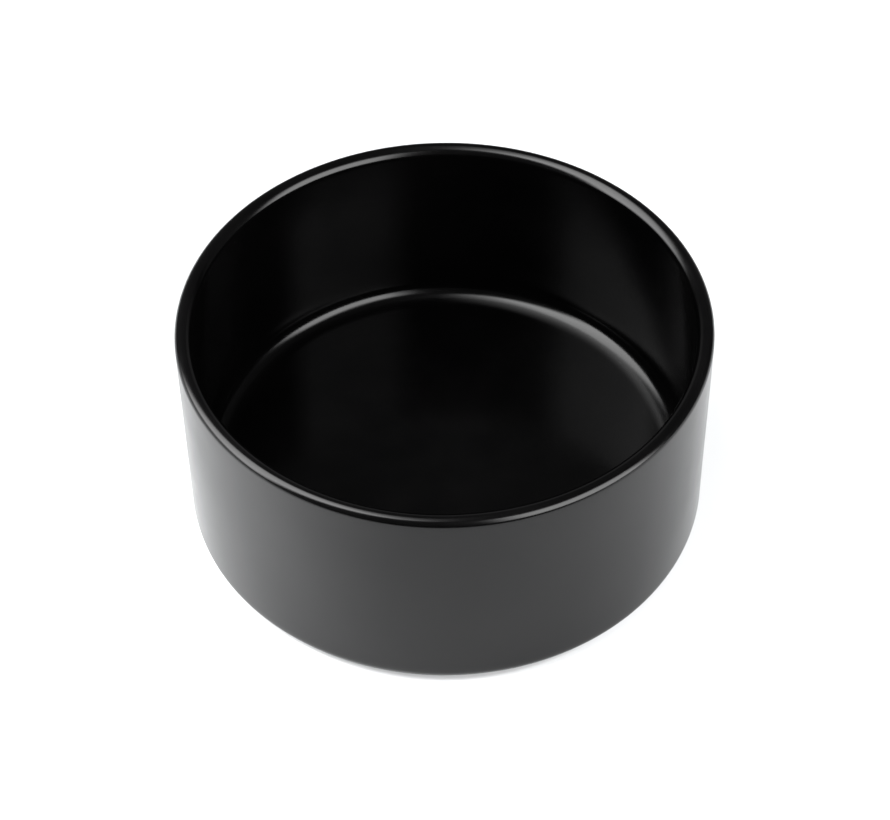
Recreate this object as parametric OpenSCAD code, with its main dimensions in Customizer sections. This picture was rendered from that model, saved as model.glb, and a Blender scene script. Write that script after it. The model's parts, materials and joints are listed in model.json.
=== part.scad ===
// Low, wide ceramic jar for a poured candle, empty: a stoneware body with a black glaze coat.
// Origin at the centre of the foot ring's contact plane, +Z up through the mouth.

/* [Jar] */
// Outside diameter of the finished jar
jar_d = 120; // [80:1:160]
// Height of the finished jar, from the table to the crest of the rim
jar_h = 54.5; // [40:0.5:120]
// Thickness of the finished wall, glaze included
wall_t = 3.8; // [2.6:0.1:6]
// Height of the inside floor above the table, glaze included
floor_h = 7.5; // [5:0.25:12]

/* [Curves] */
// Distance of the rim's crest from the outer side, as a share of the wall thickness
crest_share = 0.42; // [0.36:0.01:0.48]
// Radius of the tight cove where the inside wall turns into the floor
cove_r = 4; // [2:0.2:6]
// Radius of the wider curve that eases the cove into the flat floor
dish_r = 8; // [7:1:24]
// Slope of the floor where the cove hands over to the wider curve, in degrees
dish_slope = 20; // [8:1:30]
// Radius of the outside bottom edge
base_edge_r = 3; // [1:0.5:4]

/* [Foot ring] */
// Distance of the foot ring's outer side in from the jar's outer side
foot_inset = 5; // [4:0.5:12]
// Width of the bare clay ring that the jar stands on
foot_w = 4.5; // [3:0.5:8]
// Gap between the table and the glazed base outside the foot ring
foot_lift = 0.8; // [0.5:0.1:2]
// Radius of the two lower edges of the foot ring
foot_edge_r = 0.4; // [0.2:0.1:0.5]
// Height of the glazed recess inside the foot ring above the table
recess_h = 2.2; // [1:0.1:2.5]

/* [Glaze] */
// Thickness of the glaze coat
glaze_t = 0.3; // [0.2:0.05:0.5]
// Strip of clay wiped clean of glaze along each side of the foot ring
wiped_w = 0.6; // [0.3:0.1:0.8]
// How far down the inside wall the outer coat laps over the rim
rim_lap = 2; // [1:0.5:6]

/* [Hidden] */
$fn = 180;

outer_r = jar_d / 2;
inner_r = outer_r - wall_t;

// The rim is two quarter rounds that meet at its crest, the inner one the larger
rim_out_r = crest_share * wall_t;
rim_in_r = wall_t - rim_out_r;
crest_r = outer_r - rim_out_r;
shoulder_z = jar_h - rim_out_r;
rim_z = jar_h - rim_in_r;

// Centres of the cove and of the wider curve, on one line through the point where they meet
dish_z = floor_h + dish_r;
cove_z = dish_z - (dish_r - cove_r) * cos(dish_slope);
cove_x = inner_r - cove_r;
dish_x = cove_x - (dish_r - cove_r) * sin(dish_slope);

foot_outer_r = outer_r - foot_inset;
foot_inner_r = foot_outer_r - foot_w;
floor_mid_z = (floor_h + recess_h) / 2;
lap_z = rim_z - rim_lap;

GLAZE_BLACK = [0.05, 0.05, 0.055];
CLAY_GREY = [0.62, 0.58, 0.53];

// Rectangle between two opposite corners
module block(low, high) {
    translate(low) square(high - low);
}

// Slice of a disc, from the angle "from" to the angle "to"
module sector(r, from, to) {
    reach = 2 * r;
    intersection() {
        circle(r);
        polygon([[0, 0], reach * [cos(from), sin(from)], reach * [cos(to), sin(to)]]);
    }
}

// Space inside the jar, in section; skin widens it on every side
module cavity_section(skin) {
    block([0, cove_z], [inner_r + skin, rim_z]);
    block([0, floor_h - skin], [dish_x, dish_z]);
    translate([cove_x, cove_z]) circle(cove_r + skin);
    translate([dish_x, dish_z]) sector(dish_r + skin, -90 - dish_slope, -90 + dish_slope);
}

// Solid of the jar above its base plane, in section; skin thins it on every side
module vessel_section(skin) {
    base_edge = [outer_r - base_edge_r, foot_lift + base_edge_r];
    difference() {
        union() {
            block([0, base_edge.y], [outer_r - skin, rim_z]);
            block([0, foot_lift + skin], base_edge);
            translate(base_edge) circle(base_edge_r - skin);
        }
        cavity_section(skin);
    }
    block([crest_r, rim_z], [outer_r - skin, shoulder_z]);
    translate([crest_r, shoulder_z]) sector(rim_out_r - skin, 0, 90);
    translate([crest_r, rim_z]) sector(rim_in_r - skin, 90, 180);
}

// Glaze coat of the whole vessel, in section, before it is parted into outer coat and liner
module coat_section() {
    difference() {
        vessel_section(0);
        vessel_section(glaze_t);
    }
}

// Everything on the inside of the jar below the lap of the outer coat, in section
module liner_zone() {
    block([0, floor_mid_z], [crest_r, lap_z]);
}

// Foot ring with its two lower edges rounded, in section
module foot_section() {
    top_z = floor_mid_z;
    block([foot_inner_r, foot_edge_r], [foot_outer_r, top_z]);
    block([foot_inner_r + foot_edge_r, 0], [foot_outer_r - foot_edge_r, foot_edge_r]);
    for (x = [foot_inner_r + foot_edge_r, foot_outer_r - foot_edge_r])
        translate([x, foot_edge_r]) circle(foot_edge_r);
}

module stoneware_body() {
    color(CLAY_GREY) rotate_extrude() {
        difference() {
            vessel_section(glaze_t);
            block([0, 0], [foot_inner_r, recess_h + glaze_t]);
        }
        foot_section();
    }
}

module outer_glaze() {
    color(GLAZE_BLACK) rotate_extrude() difference() {
        coat_section();
        liner_zone();
        block([0, 0], [foot_outer_r + wiped_w, floor_mid_z]);
    }
}

module liner_glaze() {
    color(GLAZE_BLACK) rotate_extrude() intersection() {
        coat_section();
        liner_zone();
    }
}

module underside_glaze() {
    color(GLAZE_BLACK) translate([0, 0, recess_h])
        cylinder(h = glaze_t, r = foot_inner_r - wiped_w);
}

stoneware_body();
outer_glaze();
liner_glaze();
underside_glaze();
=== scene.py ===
import json
import math

import bmesh
import bpy
from mathutils import Matrix, Vector, noise


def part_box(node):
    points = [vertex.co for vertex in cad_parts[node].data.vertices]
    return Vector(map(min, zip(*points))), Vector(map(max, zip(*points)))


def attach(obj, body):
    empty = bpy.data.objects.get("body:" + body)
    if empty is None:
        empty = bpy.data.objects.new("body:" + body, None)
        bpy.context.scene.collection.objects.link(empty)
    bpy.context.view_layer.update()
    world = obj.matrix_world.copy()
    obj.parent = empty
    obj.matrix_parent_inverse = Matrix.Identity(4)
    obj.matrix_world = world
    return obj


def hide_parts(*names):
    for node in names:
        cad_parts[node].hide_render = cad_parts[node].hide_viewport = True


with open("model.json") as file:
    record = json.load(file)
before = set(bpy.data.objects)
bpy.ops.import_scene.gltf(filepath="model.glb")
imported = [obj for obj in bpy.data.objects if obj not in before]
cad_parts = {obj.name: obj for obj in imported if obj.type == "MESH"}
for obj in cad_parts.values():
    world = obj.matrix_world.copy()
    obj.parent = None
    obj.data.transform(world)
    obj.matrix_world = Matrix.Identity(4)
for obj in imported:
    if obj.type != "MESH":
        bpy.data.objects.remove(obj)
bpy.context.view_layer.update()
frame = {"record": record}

# ---------------------------------------------------------------- sizes, in metres

MM = 0.001
mounts = {m["name"]: m for m in frame["record"]["mounts"]}
outer_low, outer_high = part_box("outer_glaze")
liner_low, liner_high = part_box("liner_glaze")
under_low, under_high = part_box("underside_glaze")

OUTER_R = outer_high.x
INNER_R = mounts["mouth"]["dims"]["r_mm"] * MM
JAR_TOP = outer_high.z
BASE_Z = outer_low.z
LAP_Z = liner_high.z
GLAZE_T = liner_high.x - INNER_R
FLOOR_Z = liner_low.z + GLAZE_T
RECESS_Z = under_low.z
UNDER_R = under_high.x
FOOT_MID_R = mounts["rest_face"]["pos_m"][0]

# Curves that the frame's boxes don't give, as in the CAD model
COVE_R = 4 * MM
DISH_R = 8 * MM
DISH_SLOPE = math.radians(20)
BASE_EDGE_R = 3 * MM
FOOT_W = 4.5 * MM
FOOT_EDGE_R = 0.4 * MM
WIPED_W = 0.6 * MM
CREST_SHARE = 0.42

RIM_OUT_R = CREST_SHARE * (OUTER_R - INNER_R)
RIM_IN_R = OUTER_R - INNER_R - RIM_OUT_R
CREST_R = OUTER_R - RIM_OUT_R
SHOULDER_Z = JAR_TOP - RIM_OUT_R
RIM_Z = JAR_TOP - RIM_IN_R
FOOT_OUTER_R = FOOT_MID_R + FOOT_W / 2
FOOT_INNER_R = FOOT_MID_R - FOOT_W / 2
DISH_Z = FLOOR_Z + DISH_R
COVE_Z = DISH_Z - (DISH_R - COVE_R) * math.cos(DISH_SLOPE)
COVE_X = INNER_R - COVE_R
DISH_X = COVE_X - (DISH_R - COVE_R) * math.sin(DISH_SLOPE)

# Fineness of the meshes: faces round the axis, length of straight steps, and steps on each arc
SEGMENTS = 384
STEP = 1.2 * MM
RIM_STEPS = 24
HIDDEN_RIM_STEPS = 12
COVE_STEPS = 14
DISH_STEPS = 8
BASE_EDGE_STEPS = 10
FOOT_EDGE_STEPS = 6
SHARP_ANGLE = math.radians(40)
NEAR_AXIS = 0.001 * MM

# Unevenness of the glaze: long low waves that fade out towards the ends of each surface
GLAZE_WAVE = 17 * MM
GLAZE_WAVE_H = 0.04 * MM
FADE_H = 6 * MM

# The glaze line beside the foot ring: how it wanders, and the width and height of its rolled edge
LINE_WAVE = 7 * MM
LINE_WANDER = 0.35 * MM
ROLL_W = 1.2 * MM
ROLL_H = 0.18 * MM

# Wear on the foot ring: size and depth of the worn spots
WEAR_SIZE = 1.5 * MM
WEAR_H = 0.12 * MM


# ---------------------------------------------------------------- outlines, as (radius, height)

def line(start, end, step=STEP):
    """Points from start up to, but without, end."""
    span = math.dist(start, end)
    count = max(1, round(span / step))
    return [
        (start[0] + (end[0] - start[0]) * i / count, start[1] + (end[1] - start[1]) * i / count)
        for i in range(count)
    ]


def arc(centre, radius, start, end, count):
    """Points on an arc, from the angle start to the angle end in degrees, both included."""
    angles = [math.radians(start + (end - start) * i / count) for i in range(count + 1)]
    return [(centre[0] + radius * math.cos(a), centre[1] + radius * math.sin(a)) for a in angles]


def outside_outline(skin, foot_r):
    """Outside of the jar, from the base beside the foot ring up to the rim's shoulder."""
    edge = (OUTER_R - BASE_EDGE_R, BASE_Z + BASE_EDGE_R)
    return (
        line((foot_r, BASE_Z + skin), (edge[0], BASE_Z + skin), STEP / 3)
        + arc(edge, BASE_EDGE_R - skin, -90, 0, BASE_EDGE_STEPS)
        + line((OUTER_R - skin, edge[1] + STEP), (OUTER_R - skin, SHOULDER_Z))
    )


def rim_outline(skin, count):
    """Over the rim, from its outer shoulder to its inner tangent: two quarter rounds."""
    outer = arc((CREST_R, SHOULDER_Z), RIM_OUT_R - skin, 0, 90, count)
    inner = arc((CREST_R, RIM_Z), RIM_IN_R - skin, 90, 180, count)
    return outer + inner[1:]


def inside_outline(skin, top_z):
    """Inside of the jar, from the wall at top_z down the cove and in to the axis."""
    slope = math.degrees(DISH_SLOPE)
    floor_z = FLOOR_Z - skin
    return (
        line((INNER_R + skin, top_z), (INNER_R + skin, COVE_Z))
        + arc((COVE_X, COVE_Z), COVE_R + skin, 0, slope - 90, COVE_STEPS)
        + arc((DISH_X, DISH_Z), DISH_R + skin, slope - 90, -90, DISH_STEPS)[1:]
        + line((DISH_X - STEP, floor_z), (0, floor_z))
        + [(0, floor_z)]
    )


# ---------------------------------------------------------------- meshes

def lathe(name, outline):
    """A closed body of revolution about Z. Outline points on the axis become single vertices."""
    on_axis = [r < NEAR_AXIS for r, z in outline]
    verts, first = [], []
    for (r, z), single in zip(outline, on_axis):
        first.append(len(verts))
        turns = 1 if single else SEGMENTS
        for k in range(turns):
            a = 2 * math.pi * k / SEGMENTS
            verts.append((r * math.cos(a), r * math.sin(a), z))
    faces = []
    for i in range(len(outline)):
        j = (i + 1) % len(outline)
        if on_axis[i] and on_axis[j]:
            continue
        for k in range(SEGMENTS):
            n = (k + 1) % SEGMENTS
            if on_axis[i]:
                faces.append((first[i], first[j] + n, first[j] + k))
            elif on_axis[j]:
                faces.append((first[i] + k, first[i] + n, first[j]))
            else:
                faces.append((first[i] + k, first[i] + n, first[j] + n, first[j] + k))
    mesh = bpy.data.meshes.new(name)
    mesh.from_pydata(verts, [], faces)
    mesh.validate()
    piece = bpy.data.objects.new(name, mesh)
    bpy.context.scene.collection.objects.link(piece)
    return piece


def ripple(point, size):
    """Smooth uneven value from -1 to 1 at a place, with waves about "size" metres long."""
    return noise.noise(point / size)


def settle(piece, moves):
    """Shifts each vertex off the axis by (outwards, up) = moves(radius, height, co)."""
    for vertex in piece.data.vertices:
        co = vertex.co
        radius = math.hypot(co.x, co.y)
        if radius > NEAR_AXIS:
            outwards, up = moves(radius, co.z, co)
            scale = 1 + outwards / radius
            vertex.co = (co.x * scale, co.y * scale, co.z + up)


def face_outwards(piece):
    """Turns every face of a closed mesh outwards, and shades it smooth but for its sharp edges."""
    work = bmesh.new()
    work.from_mesh(piece.data)
    bmesh.ops.recalc_face_normals(work, faces=work.faces)
    work.to_mesh(piece.data)
    work.free()
    piece.data.polygons.foreach_set("use_smooth", [True] * len(piece.data.polygons))
    piece.data.set_sharp_from_angle(angle=SHARP_ANGLE)


def build_outer_coat():
    """Glaze from beside the foot ring, up the outside and over the rim, down to the lap inside."""
    glaze_line_r = FOOT_OUTER_R + WIPED_W
    outside = outside_outline(0, glaze_line_r) + rim_outline(0, RIM_STEPS)
    outside += line((INNER_R, RIM_Z - STEP / 2), (INNER_R, LAP_Z), STEP / 2) + [(INNER_R, LAP_Z)]
    backing = outside_outline(GLAZE_T, glaze_line_r) + rim_outline(GLAZE_T, HIDDEN_RIM_STEPS)
    backing += [(INNER_R + GLAZE_T, LAP_Z)]
    piece = lathe("outer_coat", outside + backing[::-1])

    def moves(radius, height, co):
        edge = 1 - min(1, (radius - glaze_line_r) / ROLL_W)
        if height < BASE_Z + GLAZE_T and radius < OUTER_R - BASE_EDGE_R:
            bead = -ROLL_H * edge if height < BASE_Z + GLAZE_T / 2 else 0
            return LINE_WANDER * ripple(co, LINE_WAVE) * edge, bead
        if radius > OUTER_R - GLAZE_T / 2 and height < SHOULDER_Z:
            fade = min(1, (SHOULDER_Z - height) / FADE_H, (height - BASE_Z) / FADE_H)
            return GLAZE_WAVE_H * fade * ripple(co, GLAZE_WAVE), 0
        return 0, 0

    settle(piece, moves)
    return piece


def build_liner_coat():
    """Glaze on the inside wall, the cove and the floor."""
    face = inside_outline(0, LAP_Z)
    backing = inside_outline(GLAZE_T, LAP_Z)
    piece = lathe("liner_coat", face + backing[::-1])

    def moves(radius, height, co):
        on_wall = radius < INNER_R + GLAZE_T / 2 and height > COVE_Z
        on_floor = radius < DISH_X and height > FLOOR_Z - GLAZE_T / 2
        if on_wall:
            fade = min(1, (height - COVE_Z) / FADE_H, (LAP_Z - height) / FADE_H)
            return GLAZE_WAVE_H * fade * ripple(co, GLAZE_WAVE), 0
        if on_floor:
            fade = min(1, (DISH_X - radius) / FADE_H)
            return 0, GLAZE_WAVE_H * fade * ripple(co, GLAZE_WAVE)
        return 0, 0

    settle(piece, moves)
    return piece


def build_underside_coat():
    """Glaze in the recess inside the foot ring."""
    outline = [(0, RECESS_Z)] + line((STEP, RECESS_Z), (UNDER_R, RECESS_Z)) + [(UNDER_R, RECESS_Z)]
    outline += [(UNDER_R, RECESS_Z + GLAZE_T), (0, RECESS_Z + GLAZE_T)]
    piece = lathe("underside_coat", outline)

    def moves(radius, height, co):
        edge = max(0, 1 - (UNDER_R - radius) / ROLL_W)
        if height > RECESS_Z + GLAZE_T / 2:
            return LINE_WANDER * ripple(co, LINE_WAVE) * edge, 0
        wave = GLAZE_WAVE_H * ripple(co, GLAZE_WAVE)
        return LINE_WANDER * ripple(co, LINE_WAVE) * edge, wave * (1 - edge) - ROLL_H * edge

    settle(piece, moves)
    return piece


def build_stoneware():
    """The fired clay under the glaze, with its bare foot ring."""
    top = inside_outline(GLAZE_T, RIM_Z)
    recess_top = RECESS_Z + GLAZE_T
    inner_edge_x = FOOT_INNER_R + FOOT_EDGE_R
    outer_edge_x = FOOT_OUTER_R - FOOT_EDGE_R
    foot = (
        [(0, recess_top)]
        + line((STEP, recess_top), (FOOT_INNER_R, recess_top))
        + line((FOOT_INNER_R, recess_top), (FOOT_INNER_R, FOOT_EDGE_R), STEP / 4)
        + arc((inner_edge_x, FOOT_EDGE_R), FOOT_EDGE_R, 180, 270, FOOT_EDGE_STEPS)
        + line((inner_edge_x + FOOT_EDGE_R, 0), (outer_edge_x, 0), STEP / 4)
        + arc((outer_edge_x, FOOT_EDGE_R), FOOT_EDGE_R, 270, 360, FOOT_EDGE_STEPS)
    )
    outside = outside_outline(GLAZE_T, FOOT_OUTER_R)
    rim = rim_outline(GLAZE_T, HIDDEN_RIM_STEPS)[:-1]
    piece = lathe("stoneware", foot + outside + rim + top)

    def moves(radius, height, co):
        on_foot = height < BASE_Z
        return 0, WEAR_H * max(0, ripple(co, WEAR_SIZE)) if on_foot else 0

    settle(piece, moves)
    return piece


# ---------------------------------------------------------------- materials

def material(name):
    m = bpy.data.materials.new(name)
    m.use_nodes = True
    return m, m.node_tree.nodes, m.node_tree.links, m.node_tree.nodes["Principled BSDF"]


def noise_value(nodes, links, scale, detail):
    """Noise on the object's own coordinates."""
    coords = nodes.new("ShaderNodeTexCoord")
    n = nodes.new("ShaderNodeTexNoise")
    n.inputs["Scale"].default_value = scale
    n.inputs["Detail"].default_value = detail
    links.new(coords.outputs["Object"], n.inputs["Vector"])
    return n.outputs["Fac"]


def remap(nodes, links, source, low, high, to_low, to_high):
    r = nodes.new("ShaderNodeMapRange")
    r.inputs["From Min"].default_value = low
    r.inputs["From Max"].default_value = high
    r.inputs["To Min"].default_value = to_low
    r.inputs["To Max"].default_value = to_high
    links.new(source, r.inputs["Value"])
    return r.outputs["Result"]


def bump(nodes, links, height, distance, strength):
    b = nodes.new("ShaderNodeBump")
    b.inputs["Strength"].default_value = strength
    b.inputs["Distance"].default_value = distance
    links.new(height, b.inputs["Height"])
    return b.outputs["Normal"]


def mottle(nodes, links, value, dark, light, low=0.0, high=1.0):
    """Colour that goes from dark to light as the value goes from low to high."""
    ramp = nodes.new("ShaderNodeValToRGB")
    ends = ramp.color_ramp.elements
    ends[0].color = (*dark, 1)
    ends[1].color = (*light, 1)
    ends[0].position = low
    ends[1].position = high
    links.new(value, ramp.inputs["Fac"])
    return ramp.outputs["Color"]


def black_glaze():
    """Black satin-gloss glaze with a faint orange peel."""
    m, nodes, links, shader = material("black_glaze")
    shader.inputs["IOR"].default_value = 1.33
    cloud = noise_value(nodes, links, scale=60, detail=3)
    tint = mottle(
        nodes, links, cloud, dark=(0.0008, 0.0008, 0.00085), light=(0.0014, 0.00135, 0.0014),
        low=0.35, high=0.65
    )
    links.new(tint, shader.inputs["Base Color"])
    patch = noise_value(nodes, links, scale=140, detail=4)
    gloss = remap(nodes, links, patch, low=0.3, high=0.7, to_low=0.16, to_high=0.20)
    links.new(gloss, shader.inputs["Roughness"])
    peel = noise_value(nodes, links, scale=900, detail=2)
    normal = bump(nodes, links, peel, distance=0.02 * MM, strength=0.25)
    links.new(normal, shader.inputs["Normal"])
    return m


def bare_stoneware():
    """Matt fired clay with fine grit."""
    m, nodes, links, shader = material("bare_stoneware")
    cloud = noise_value(nodes, links, scale=220, detail=5)
    tint = mottle(
        nodes, links, cloud, dark=(0.25, 0.215, 0.175), light=(0.45, 0.405, 0.345),
        low=0.3, high=0.7
    )
    links.new(tint, shader.inputs["Base Color"])
    shader.inputs["Roughness"].default_value = 0.85
    grit = noise_value(nodes, links, scale=2600, detail=3)
    normal = bump(nodes, links, grit, distance=0.15 * MM, strength=0.6)
    links.new(normal, shader.inputs["Normal"])
    return m


def paper():
    """Pale paper that gives off a little light of its own, so that shadows on it stay light."""
    m, nodes, links, shader = material("floor_paper")
    fibre = noise_value(nodes, links, scale=30, detail=4)
    tint = mottle(
        nodes, links, fibre, dark=(0.291, 0.294, 0.297), light=(0.301, 0.304, 0.307)
    )
    links.new(tint, shader.inputs["Base Color"])
    shader.inputs["Roughness"].default_value = 0.9
    shader.inputs["Emission Color"].default_value = (0.985, 1, 1.015, 1)
    shader.inputs["Emission Strength"].default_value = 0.22
    return m


# ---------------------------------------------------------------- pieces on the frame

GLAZE = black_glaze()
CLAY = bare_stoneware()
pieces = [
    (build_outer_coat(), "outer_glaze", "black_glaze", GLAZE),
    (build_liner_coat(), "liner_glaze", "black_glaze", GLAZE),
    (build_underside_coat(), "underside_glaze", "black_glaze", GLAZE),
    (build_stoneware(), "stoneware_body", "bare_stoneware", CLAY),
]
for piece, node, slot_name, finish in pieces:
    face_outwards(piece)
    piece.data.materials.append(finish)
    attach(piece, "root")
    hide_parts(node)


# ---------------------------------------------------------------- camera

CAMERA_ELEVATION = math.radians(47.1)
CAMERA_DISTANCE = 0.578
CAMERA_LENS = 101.2
SENSOR_W = 36
CAMERA_ROLL = math.radians(-0.68)
TARGET = Vector((-0.0001, 0, 0.0244))


def build_camera():
    """A level camera in front of the jar, looking down at it, then rolled a little."""
    data = bpy.data.cameras.new("camera")
    data.lens = CAMERA_LENS
    data.sensor_width = SENSOR_W
    data.clip_start = 10 * MM
    camera = bpy.data.objects.new("camera", data)
    back = Vector((0, -math.cos(CAMERA_ELEVATION), math.sin(CAMERA_ELEVATION)))
    level = Vector((1, 0, 0))
    upright = back.cross(level)
    right = level * math.cos(CAMERA_ROLL) + upright * math.sin(CAMERA_ROLL)
    up = back.cross(right)
    turn = Matrix((right, up, back)).transposed().to_4x4()
    camera.matrix_world = Matrix.Translation(TARGET + back * CAMERA_DISTANCE) @ turn
    bpy.context.scene.collection.objects.link(camera)
    bpy.context.scene.camera = camera


build_camera()


# ---------------------------------------------------------------- studio

LEFT, FRONT, BACK, UP = Vector((-1, 0, 0)), Vector((0, -1, 0)), Vector((0, 1, 0)), Vector((0, 0, 1))

# The panels lie on a sphere round the jar, and the floor ends just inside it
PANEL_R = 1.2
PANEL_COLUMNS, PANEL_ROWS = 24, 16
PANEL_EDGE = 0.2
FLOOR_R = 1.18

FLAG_NEAR = 0.145
FLAG_DEPTH = 1.5
FLAG_WIDTH = 1.2
FLAG_LIFT = 1 * MM

TOE = 0.012
TOE_STOPS = 7
COMBINED_CURVE = 3


def panel_finish(name, radiance, far):
    """Light that fades out along all four edges of the panel.

    Between the near and the far latitude it falls off to the share "far".
    """
    m = bpy.data.materials.new(name)
    m.use_nodes = True
    nodes, links = m.node_tree.nodes, m.node_tree.links
    nodes.clear()
    coords = nodes.new("ShaderNodeTexCoord")
    split = nodes.new("ShaderNodeSeparateXYZ")
    links.new(coords.outputs["UV"], split.inputs["Vector"])
    level = remap(nodes, links, split.outputs["Y"], 0, 1, radiance, radiance * far)
    for axis in "XY":
        for start, full in ((0, PANEL_EDGE), (1, 1 - PANEL_EDGE)):
            fade = remap(nodes, links, split.outputs[axis], start, full, 0, 1)
            product = nodes.new("ShaderNodeMath")
            product.operation = "MULTIPLY"
            links.new(fade, product.inputs[0])
            links.new(level, product.inputs[1])
            level = product.outputs["Value"]
    emission = nodes.new("ShaderNodeEmission")
    links.new(level, emission.inputs["Strength"])
    output = nodes.new("ShaderNodeOutputMaterial")
    links.new(emission.outputs["Emission"], output.inputs["Surface"])
    return m


def softbox(name, pole, zero, around, across, radiance, far=1):
    """A soft panel on part of a sphere round the jar.

    It runs between two angles round the pole, counted from the direction zero, and between two
    latitudes towards the pole, all in degrees.
    """
    quarter = pole.cross(zero)
    verts = []
    for j in range(PANEL_ROWS + 1):
        latitude = math.radians(across[0] + (across[1] - across[0]) * j / PANEL_ROWS)
        for i in range(PANEL_COLUMNS + 1):
            a = math.radians(around[0] + (around[1] - around[0]) * i / PANEL_COLUMNS)
            level = zero * math.cos(a) + quarter * math.sin(a)
            place = level * math.cos(latitude) + pole * math.sin(latitude)
            verts.append(TARGET + PANEL_R * place)
    wide = PANEL_COLUMNS + 1
    faces = [
        (j * wide + i, j * wide + i + 1, (j + 1) * wide + i + 1, (j + 1) * wide + i)
        for j in range(PANEL_ROWS) for i in range(PANEL_COLUMNS)
    ]
    mesh = bpy.data.meshes.new(name)
    mesh.from_pydata(verts, [], faces)
    layer = mesh.uv_layers.new(name="panel")
    for corner, loop in enumerate(mesh.loops):
        j, i = divmod(loop.vertex_index, wide)
        layer.data[corner].uv = (i / PANEL_COLUMNS, j / PANEL_ROWS)
    mesh.materials.append(panel_finish(name, radiance, far))
    panel = bpy.data.objects.new(name, mesh)
    panel.visible_camera = False
    bpy.context.scene.collection.objects.link(panel)


def glow(name, place, width, energy):
    """A lamp that lights the floor beside the jar and does not show in the glaze."""
    data = bpy.data.lights.new(name, "AREA")
    data.shape = "DISK"
    data.size = width
    data.energy = energy
    lamp = bpy.data.objects.new(name, data)
    lamp.location = place
    lamp.visible_glossy = False
    bpy.context.scene.collection.objects.link(lamp)


def build_floor():
    """A round sheet of pale paper under the jar."""
    bpy.ops.mesh.primitive_circle_add(vertices=96, radius=FLOOR_R, fill_type="NGON")
    floor = bpy.context.object
    floor.name = "floor"
    floor.data.materials.append(paper())


def build_flag():
    """A black card on the floor in front, seen only in the glaze, that darkens its front."""
    middle = FLAG_NEAR + FLAG_DEPTH / 2
    bpy.ops.mesh.primitive_plane_add(size=1, location=(0, -middle, FLAG_LIFT))
    card = bpy.context.object
    card.name = "front_flag"
    card.scale = (FLAG_WIDTH, FLAG_DEPTH, 1)
    card.visible_camera = False
    card.visible_diffuse = False
    card.visible_shadow = False
    m, _, _, shader = material("black_card")
    shader.inputs["Base Color"].default_value = (0.01, 0.01, 0.01, 1)
    shader.inputs["Roughness"].default_value = 1.0
    card.data.materials.append(m)


def build_world(radiance, backdrop):
    """Even dim light all round the jar, and a pale backdrop where the camera looks past it."""
    world = bpy.data.worlds.new("studio")
    world.use_nodes = True
    nodes, links = world.node_tree.nodes, world.node_tree.links
    path = nodes.new("ShaderNodeLightPath")
    links.new(
        remap(nodes, links, path.outputs["Is Camera Ray"], 0, 1, radiance, backdrop),
        nodes["Background"].inputs["Strength"],
    )
    nodes["Background"].inputs["Color"].default_value = (1, 1, 1, 1)
    bpy.context.scene.world = world


def build_tone_curve():
    """Straight over most of its length, with a soft toe that deepens the near blacks."""
    view = bpy.context.scene.view_settings
    view.view_transform = "Standard"
    view.look = "None"
    view.use_curve_mapping = True
    tone = view.curve_mapping.curves[COMBINED_CURVE]
    for stop in range(1, TOE_STOPS + 1):
        level = 0.5 ** stop
        tone.points.new(level, level * level / (level + TOE))
    view.curve_mapping.update()


# An arch from the left over the jar, a panel at the front right, and a low glow behind
softbox(
    "softbox_left", pole=BACK, zero=LEFT, around=(0, 90), across=(-28, 30), radiance=14.4, far=0.55
)
softbox("softbox_right", pole=UP, zero=FRONT, around=(14, 85), across=(-5, 58), radiance=10.8)
softbox("backdrop_glow", pole=UP, zero=BACK, around=(-60, 60), across=(2, 34), radiance=0.35)
glow("floor_glow_left", place=(-0.09, -0.06, 0.09), width=0.06, energy=0.3)
glow("floor_glow_right", place=(0.25, -0.1, 0.28), width=0.1, energy=2.4)
build_floor()
build_flag()
build_world(radiance=0.22, backdrop=1.0)
build_tone_curve()
